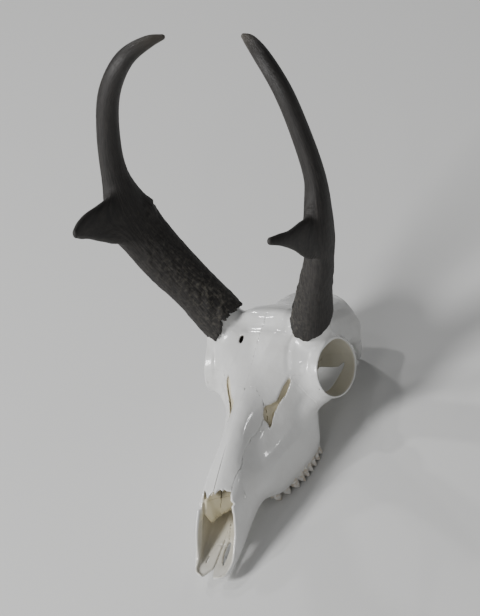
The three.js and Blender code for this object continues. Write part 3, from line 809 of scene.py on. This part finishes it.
def shades(points, whole):
    """How deep under the skull's own form each point lies, and which hollow it belongs to: masks for
    the tints that paint shade into the eye socket, the snout's inner floor, the nose's depths and the
    brow's holes.
    """
    points = np.abs(points)
    # Painted shade: a near-black tint inside the brow's holes, where the real holes are dark only with
    # shade.
    hole = np.linalg.norm((points - [18.6, 196.5, 99]) * [1, 1, 0.6], axis=1) < 8
    depth = -whole.read(points)
    hole = hole * np.clip((depth - 0.6) / 1.4, 0, 1)
    # Inside the eye socket, from just behind its mouth: its duller grey-tan tone, darkened with painted
    # shade.
    from_eye = points - ORBIT_AT
    behind = -(from_eye @ ORBIT_AXIS)
    reach = np.linalg.norm(from_eye + behind[:, None] * ORBIT_AXIS, axis=1)
    eye = np.clip((behind - 1.2) / 2, 0, 1) * np.clip((ORBIT_OPENING + 1.6 - reach) / 1.5, 0, 1)
    # On the snout's inner floor, strongest towards the front: partly the bone's greyer tone, partly
    # painted shade.
    snout = np.clip((depth - 0.7) / 1.5, 0, 1) * (points[:, 2] < 40)
    snout = snout * np.interp(points[:, 1], [10, 40, 62], [0.9, 0.6, 0])
    nose = np.interp(points[:, 1], [12, 30, 48], [0.2, 0.6, 1])
    nose = np.where(points[:, 2] < 66, nose, 1)
    # More than 4 mm inside the nose's front: partly the scrolls' olive-tan tone, partly painted shade.
    scroll = np.clip((depth - 4) / 2, 0, 1) * (points[:, 1] < 90) * (points[:, 2] > 35)
    return {"depth": depth, "eye": eye, "nose": nose, "snout": snout, "hole": hole,
            "scroll": scroll}


def make_bones(material):
    left, right, whole = skull_halves()
    for name, (low, high) in WINDOWS.items():
        where, x, s, z = left.window(low, high)
        grid = np.stack(np.broadcast_arrays(x, s, z), -1)
        thin = grid[::2, ::2, ::2]
        wave = noise(thin.reshape(-1, 3), 5.0, 3).reshape(thin.shape[:3]) * 0.7
        wave = finer(wave, grid.shape[:3]).astype(np.float32)
        region = bone_regions(x, s, z, wave)[name] + SEAM
        start = np.array([x.ravel()[0], s.ravel()[0], z.ravel()[0]])
        if name in PAIRED:
            # The nasals part a little towards their tips.
            parting = 0.3 * np.clip((98 - s) / 20, 0, 1) if name == "nasal" else 0.0
            region = np.maximum(region, SEAM + parting - x)
            for side, half, flip in (("left", left, 1), ("right", right, -1)):
                points, faces = skin(half.d[where], region, start, VOXEL)
                make_piece(f"{name}_bone_{side}", points * [flip, 1, 1], faces[:, ::flip],
                           [f"{name}_{side}"], "bone", material, **shades(points, whole))
            continue
        zero = int(round(-start[0] / VOXEL))
        field = np.concatenate([right.d[where][:zero:-1], left.d[where][zero:]])
        region = np.concatenate([region[:zero:-1], region[zero:]])
        start[0] = -(field.shape[0] // 2) * VOXEL
        points, faces = skin(field, region, start, VOXEL)
        make_piece(f"{name}_bone", points, faces, [name], "bone", material, **shades(points, whole))


# ---- Cheek teeth: (front, length, lobes) for each, from the front


TEETH = [(104, 7.4, 1), (111.6, 7.8, 1), (119.6, 8, 1), (127.8, 11.4, 2), (139.4, 12.6, 2),
         (152.2, 14.4, 2)]
ROW_OUTER = curve((100, 17.5), (107, 20.5), (112, 24), (118, 28.2), (125, 32.2), (134, 35.4),
                  (145, 37), (155, 37.8), (168, 36.6))
ROW_WIDTH = curve((100, 7), (120, 11.5), (135, 14), (160, 15), (170, 12))


def make_teeth(material):
    low, high = np.array([14, 98, -2]), np.array([42, 174, 22])
    teeth = Block(low, high, TOOTH_VOXEL)
    where, x, s, z = teeth.window(low, high)
    for front, length, lobes in TEETH:
        for lobe in range(lobes):
            half = length / lobes / 2
            centre = front + half + lobe * 2 * half
            outer, width = float(ROW_OUTER(centre)), float(ROW_WIDTH(centre))
            for side, tall in ((1, 0.0), (-1, 1.2)):
                at = outer - width * (0.27 if side > 0 else 0.72)
                u, v = (s - centre) / (half * 1.07), (x - at) / (width * 0.3)
                round_ = np.sqrt(u**2 + v**2)
                ridges = 0.05 * np.cos(3 * np.arctan2(u, v) + (0 if side > 0 else 1.5))
                wall = (round_ - 1 - ridges) * half * 0.8
                cusp = 0.4 + tall + 3.4 * np.abs(u) ** 1.2 + 1.2 * (v - 0.8 * side) ** 2
                form = np.maximum(wall, np.maximum((cusp - z) * 0.7, z - 20))
                teeth.d[where] = blend(teeth.d[where], form.astype(np.float32), 0.7)
    points, faces = skin(teeth.d, teeth.d - UNCUT, teeth.low, teeth.step)
    outer = np.interp(points[:, 2], [0, 3, 12], [0, 0.4, 1])
    make_piece("cheek_teeth_left", points, faces, ["maxilla_left"], "bone", material, root=outer)
    make_piece("cheek_teeth_right", points * [-1, 1, 1], faces[:, ::-1], ["maxilla_right"], "bone",
               material, root=outer)


# ---- Horns: stops of the beam and of each prong, as bar takes them


BEAM = [
    (40, 213.8, 98, 19, 21.4), (44.5, 214.4, 110, 18.6, 21.2), (59.2, 214.5, 145.3, 14.6, 20.4),
    (77.6, 214.5, 185.9, 12.2, 22.2), (91, 217, 226, 10.6, 22), (95.4, 226, 262, 9, 12.5),
    (92.7, 239.5, 300, 8.8, 10.4), (83.5, 252, 332, 9, 9.8), (65.5, 266, 355, 8, 8.6),
    (48, 280, 360.2, 5.4, 5.8), (38.6, 287.4, 358.8, 2.6, 2.6),
]
# The left beam is further in and slimmer near its tip: by stop, how far in x and its share.
SLIMMER = {6: (-3.5, 0.93), 7: (-4, 0.86), 8: (-2, 0.86), 9: (0, 0.9)}
PRONG = {
    "left": [(91, 214, 225.5, 7.5, 30), (93, 194, 228, 6.6, 20), (94.3, 178, 241, 5.4, 12.6),
             (95, 164.3, 252.4, 4.4, 7.4), (94, 154, 261.5, 3.6, 5), (90.7, 145.3, 267.8, 2.4, 3.2)],
    "right": [(91, 216, 228, 7.5, 24), (93, 200, 235.5, 6.6, 21.5), (94.3, 182.6, 246.9, 5.4, 16),
              (95, 168, 257, 4.4, 11.4), (95, 156.4, 262.8, 3.6, 7.8), (94.4, 149, 266, 2.4, 4.2)],
}


# How far up the beam each sheath starts, by the angle round it from the front; minus is medial.
MARGIN = {
    "left": [(-180, 16), (-120, 14), (-90, 11.5), (-62, 9.4), (-40, 8.6), (-18, 8.7), (-6, 10.6),
             (10, 15.5), (34, 20), (57, 23.5), (77, 28), (110, 26), (150, 20), (180, 16)],
    "right": [(-180, 12), (-148, 11.7), (-121, 14), (-102, 15), (-77, 16.4), (-62, 16.4), (-47, 12),
              (-31, 6), (-12, 6.2), (10, 10), (34, 17), (57, 22), (77, 26), (110, 23), (150, 16),
              (180, 12)],
}
# How ragged each margin is, in mm.
FRAY = {"left": 0.3, "right": 1.4}


def trim_sheath(horn, side):
    """The horn's distances with its foot cut along the sheath's ragged margin."""
    field = horn.d
    where, x, s, z = horn.window(horn.low, (horn.low[0] + 70, 250, 150))
    a, b = (np.array(stop[:3]) for stop in (BEAM[0], BEAM[2]))
    run = (b - a) / np.linalg.norm(b - a)
    facing = BLADE_FACING - run * (run @ BLADE_FACING)
    facing /= np.linalg.norm(facing)
    across = np.cross(run, facing)
    x, s, z = x - a[0], s - a[1], z - a[2]
    along, front, out = (x * v[0] + s * v[1] + z * v[2] for v in (run, facing, across))
    angle = np.arctan2(out, front)
    margin = along_line(np.degrees(angle), MARGIN[side])
    fray = np.sin(11 * angle + 1) + 0.8 * np.sin(23 * angle + 2) + 0.6 * np.sin(41 * angle)
    cut = (margin + FRAY[side] * fray - along) * 0.8
    field[where] = np.maximum(field[where], cut)
    return field


def make_horns(material):
    low, high = np.array([18, 142, 92]), np.array([110, 296, 370])
    for side, seed in (("left", 11), ("right", 23)):
        beam = np.array(BEAM, float)
        for k, (inwards, share) in SLIMMER.items() if side == "left" else ():
            beam[k] = beam[k] * [1, 1, 1, share, share] + [inwards, 0, 0, 0, 0]
        horn = Block(low, high, VOXEL)
        horn.put(bar(beam, BLADE_FACING, large=True))
        horn.put(bar(PRONG[side], (0, 0.62, 0.78), large=True), 8)
        path = smooth_path([stop[:3] for stop in beam], 6)
        field = trim_sheath(horn, side)
        points, faces = skin(field, field - UNCUT, low, VOXEL)
        roughen(side, seed, points, faces, *round_beam(points, path), material)


def round_beam(points, path):
    """How far along the beam and which way round it each point lies, and the beam's length."""
    near = np.full(len(points), 1e9)
    which = np.zeros(len(points), int)
    for k, p in enumerate(path):
        d2 = ((points - p) ** 2).sum(1)
        which = np.where(d2 < near, k, which)
        near = np.minimum(near, d2)
    run = np.gradient(path, axis=0)
    run /= np.linalg.norm(run, axis=1, keepdims=True)
    length = np.concatenate([[0], np.cumsum(np.linalg.norm(np.diff(path, axis=0), axis=1))])
    off = points - path[which]
    along = length[which] + (off * run[which]).sum(1)
    facing = BLADE_FACING - run * (run @ BLADE_FACING)[:, None]
    facing /= np.linalg.norm(facing, axis=1, keepdims=True)
    across = np.cross(run, facing)
    angle = np.arctan2((off * across[which]).sum(1), (off * facing[which]).sum(1))
    return along, angle, length[-1]


def roughen(side, seed, points, faces, along, angle, total, material):
    """One horn's mesh, with its fibres, lumps and burr."""
    out = face_normals(points, faces)
    medial = np.clip(-np.sin(angle), 0, 1)
    low_part = np.clip(1 - along / 175, 0, 1)
    tip = np.clip((along - 150) / (total - 150), 0, 1)
    turned = np.stack([np.cos(angle) * 14, np.sin(angle) * 14, along / 9], 1)
    fibre = noise(turned, 1.5, seed) * 0.6 + noise(turned, 0.8, seed + 1) * 0.4
    lumps = np.clip(noise(points, 7.0, seed + 2), 0, 1) ** 1.5
    lumps = lumps + 0.5 * np.clip(noise(points, 3.2, seed + 3), 0, 1)
    rough = np.clip(low_part * 1.6, 0, 1) * (0.35 + 0.65 * medial)
    lift = fibre * (0.10 + 0.22 * rough) + lumps * rough * 1.5
    # A rough burr on the back edge at the fork.
    burr = np.exp(-(((along - 132) / 9) ** 2)) * np.clip(-np.cos(angle) - 0.55, 0, 1) * 2.2
    lift = lift + burr * (2.2 + 2 * noise(points, 4.0, seed + 4)) * (1.0 if side == "right" else 0.4)
    points = points + out * (lift * (1 - 0.7 * tip))[:, None]
    flip = 1 if side == "left" else -1
    grain = np.stack([np.cos(angle) * 16, np.sin(angle) * 16, along], 1)
    make_piece(f"horn_{side}", points * [flip, 1, 1], faces[:, ::flip],
               [f"horn_base_{side}", f"horn_prong_{side}", f"horn_hook_{side}"], "horn", material,
               grain=grain, along=along / total, medial=medial)


def face_normals(points, faces):
    """The way out at each point."""
    a, b, c, d = (points[faces[:, k]] for k in range(4))
    n = np.cross(c - a, d - b)
    out = np.zeros_like(points)
    for k in range(4):
        np.add.at(out, faces[:, k], n)
    return out / np.maximum(np.linalg.norm(out, axis=1, keepdims=True), 1e-9)


# ---- Finishes


def finish(name):
    """A new material with its tree and shader."""
    material = bpy.data.materials.new(name)
    material.use_nodes = True
    return material, material.node_tree, material.node_tree.nodes["Principled BSDF"]


def feed(tree, socket, value):
    if isinstance(value, bpy.types.NodeSocket):
        tree.links.new(value, socket)
    else:
        socket.default_value = value


def calculate(tree, operation, *values):
    made = tree.nodes.new("ShaderNodeMath")
    made.operation = operation
    for socket, value in zip(made.inputs, values):
        feed(tree, socket, value)
    return made.outputs[0]


def emboss(tree, shader, height, strength, distance):
    """A fine relief, distance in metres."""
    bump = tree.nodes.new("ShaderNodeBump")
    bump.inputs["Strength"].default_value = strength
    bump.inputs["Distance"].default_value = distance
    tree.links.new(height, bump.inputs["Height"])
    tree.links.new(bump.outputs["Normal"], shader.inputs["Normal"])


def ramp(tree, value, low, high):
    """From 0 at low to 1 at high, smoothly."""
    made = tree.nodes.new("ShaderNodeMapRange")
    made.interpolation_type = "SMOOTHSTEP"
    tree.links.new(value, made.inputs["Value"])
    made.inputs["From Min"].default_value = low
    made.inputs["From Max"].default_value = high
    return made.outputs["Result"]


def mix(tree, factor, a, b):
    made = tree.nodes.new("ShaderNodeMix")
    made.data_type = "RGBA"
    for socket, value in ((made.inputs[0], factor), (made.inputs[6], a), (made.inputs[7], b)):
        feed(tree, socket, value)
    return made.outputs[2]


def speckle(tree, vector, scale, detail=3.0, rough=0.55):
    made = tree.nodes.new("ShaderNodeTexNoise")
    made.inputs["Scale"].default_value = scale
    made.inputs["Detail"].default_value = detail
    made.inputs["Roughness"].default_value = rough
    tree.links.new(vector, made.inputs["Vector"])
    return made.outputs["Fac"]


def reader(tree, name, output="Fac"):
    """The values that a piece has under a name on its points."""
    made = tree.nodes.new("ShaderNodeAttribute")
    made.attribute_name = name
    return made.outputs[output]


def place_on(tree):
    return tree.nodes.new("ShaderNodeTexCoord").outputs["Object"]


def bone_finish():
    """Bleached bone under a clear sealer: cool white outside, ivory to tan in the hollows, with painted
    shade darkening the eye sockets, the snout's inner floor, the nose's depths and the brow's holes.
    """
    material, tree, shader = finish("bleached_bone")
    place = place_on(tree)
    depth = reader(tree, "depth")
    inner = calculate(tree, "MULTIPLY", ramp(tree, depth, 1.2, 4.0), reader(tree, "nose"))
    cloud = speckle(tree, place, 38, 4)
    white = mix(tree, ramp(tree, cloud, 0.35, 0.75), (0.80, 0.80, 0.785, 1), (0.735, 0.73, 0.71, 1))
    cream = mix(tree, ramp(tree, depth, 0.6, 1.6), white, (0.78, 0.745, 0.64, 1))
    tan = mix(tree, ramp(tree, speckle(tree, place, 60, 3), 0.3, 0.75), (0.80, 0.73, 0.54, 1),
              (0.70, 0.63, 0.44, 1))
    colour = mix(tree, inner, cream, tan)
    # Tints over the hollows: the eye socket's duller tone deepened with painted shade, the snout's
    # inner floor partly greyer bone and partly painted shade, the nose's depths partly olive-tan and
    # partly painted shade, and near-black painted shade in the brow's holes.
    for hollow, tint in (("eye", (0.60, 0.575, 0.485, 1)), ("snout", (0.47, 0.455, 0.41, 1)),
                         ("scroll", (0.32, 0.28, 0.17, 1)), ("hole", (0.05, 0.042, 0.033, 1))):
        colour = mix(tree, reader(tree, hollow), colour, tint)
    tree.links.new(colour, shader.inputs["Base Color"])
    shader.inputs["Roughness"].default_value = 0.34
    # The sealer thins out towards the nose's inside.
    tree.links.new(calculate(tree, "MULTIPLY_ADD", inner, -0.72, 0.75), shader.inputs["Coat Weight"])
    shader.inputs["Coat Roughness"].default_value = 0.07
    relief = calculate(tree, "MULTIPLY_ADD", speckle(tree, place, 420, 3), 0.16,
                       speckle(tree, place, 75, 1.5))
    emboss(tree, shader, relief, 0.5, 0.0012)
    return material


def tooth_finish():
    material, tree, shader = finish("tooth_enamel")
    stain = ramp(tree, speckle(tree, place_on(tree), 300, 3), 0.42, 0.62)
    ivory = mix(tree, reader(tree, "root"), (0.80, 0.78, 0.73, 1), (0.80, 0.795, 0.77, 1))
    colour = mix(tree, stain, ivory, (0.62, 0.55, 0.45, 1))
    tree.links.new(colour, shader.inputs["Base Color"])
    shader.inputs["Roughness"].default_value = 0.35
    shader.inputs["Coat Weight"].default_value = 0.3
    return material


def horn_finish():
    """Black keratin: fibrous and matt low down, smoother and browner towards the tip."""
    material, tree, shader = finish("horn_sheath")
    grain = reader(tree, "grain", "Vector")
    along = reader(tree, "along")
    stretch = tree.nodes.new("ShaderNodeMapping")
    stretch.inputs["Scale"].default_value = (1, 1, 0.08)
    tree.links.new(grain, stretch.inputs["Vector"])
    fibre = speckle(tree, stretch.outputs["Vector"], 1.1, 5, 0.65)
    black = mix(tree, ramp(tree, fibre, 0.35, 0.7), (0.012, 0.0108, 0.010, 1), (0.034, 0.030, 0.027, 1))
    dusty = mix(tree, ramp(tree, speckle(tree, grain, 0.35, 4), 0.45, 0.7), black,
                (0.085, 0.078, 0.064, 1))
    low_inner = calculate(tree, "MULTIPLY", reader(tree, "medial"), ramp(tree, along, 0.5, 0.1))
    colour = mix(tree, low_inner, black, dusty)
    colour = mix(tree, ramp(tree, along, 0.9, 1.0), colour, (0.075, 0.066, 0.056, 1))
    tree.links.new(colour, shader.inputs["Base Color"])
    rough = tree.nodes.new("ShaderNodeMapRange")
    for name, value in (("From Min", 0.35), ("From Max", 0.95), ("To Min", 0.72), ("To Max", 0.42)):
        rough.inputs[name].default_value = value
    tree.links.new(along, rough.inputs["Value"])
    tree.links.new(rough.outputs["Result"], shader.inputs["Roughness"])
    emboss(tree, shader, fibre, 0.6, 0.0008)
    return material


# ---- Floor, light and camera, in metres and watts


FLOOR_SIZE = 14
LIT_POINT = (0, 0, 0.12)
# Name, place, width and power. The small ones give the sealer its sharp highlights.
LAMPS = [
    ("key", (-1.15, -1.75, 1.75), 0.8, 66),
    ("fill", (2.2, 0.2, 1.4), 1.6, 1),
    ("front", (0.35, -1.95, 1.4), 0.9, 5),
    ("glint_right", (-1.10, 0.12, 2.02), 0.12, 7),
    ("glint_back", (-1.23, 1.16, 1.57), 0.12, 6),
    ("glint_crown", (-0.57, 1.04, 1.99), 0.06, 2),
    ("glint_top", (-0.31, -0.5, 2.2), 0.1, 1.2),
    ("glint_front", (0.59, -1.34, 1.72), 0.08, 0.8),
    ("glint_left", (1.99, 0.58, 0.74), 0.1, 0.8),
]
LENS = 160.07
SENSOR = 36

def lay_floor():
    bpy.ops.mesh.primitive_plane_add(size=FLOOR_SIZE, location=(0, 0, 0))
    floor = bpy.context.object
    floor.name = "floor"
    material, _, shader = finish("floor_paint")
    shader.inputs["Base Color"].default_value = (0.72, 0.72, 0.71, 1)
    shader.inputs["Roughness"].default_value = 0.8
    floor.data.materials.append(material)


def lamp(name, at, size, power):
    light = bpy.data.lights.new(name, "AREA")
    light.shape = "DISK"
    light.size = size
    light.energy = power
    made = bpy.data.objects.new(name, light)
    made.location = at
    made.rotation_mode = "QUATERNION"
    made.rotation_quaternion = (Vector(LIT_POINT) - Vector(at)).to_track_quat("-Z", "Y")
    bpy.context.scene.collection.objects.link(made)


def light_it():
    for values in LAMPS:
        lamp(*values)
    world = bpy.data.worlds.new("studio")
    world.use_nodes = True
    world.node_tree.nodes["Background"].inputs["Color"].default_value = (0.95, 0.97, 1, 1)
    world.node_tree.nodes["Background"].inputs["Strength"].default_value = 0.12
    bpy.context.scene.world = world


def set_camera():
    data = bpy.data.cameras.new("camera")
    data.sensor_width = SENSOR
    data.lens = LENS
    camera = bpy.data.objects.new("camera", data)
    across = Vector((0.86544144, 0.38208975, -0.32406564))
    up = Vector((-0.0394703, 0.69681145, 0.71616751))
    back = across.cross(up)
    turn = Matrix((across, up, back)).transposed().to_4x4()
    at = in_frame(np.array([1144.296, -1202.733, 1564.432]))
    camera.matrix_world = Matrix.Translation(Vector(at)) @ turn
    bpy.context.scene.collection.objects.link(camera)
    bpy.context.scene.camera = camera


make_bones(bone_finish())
make_teeth(tooth_finish())
make_horns(horn_finish())
lay_floor()
light_it()
set_camera()
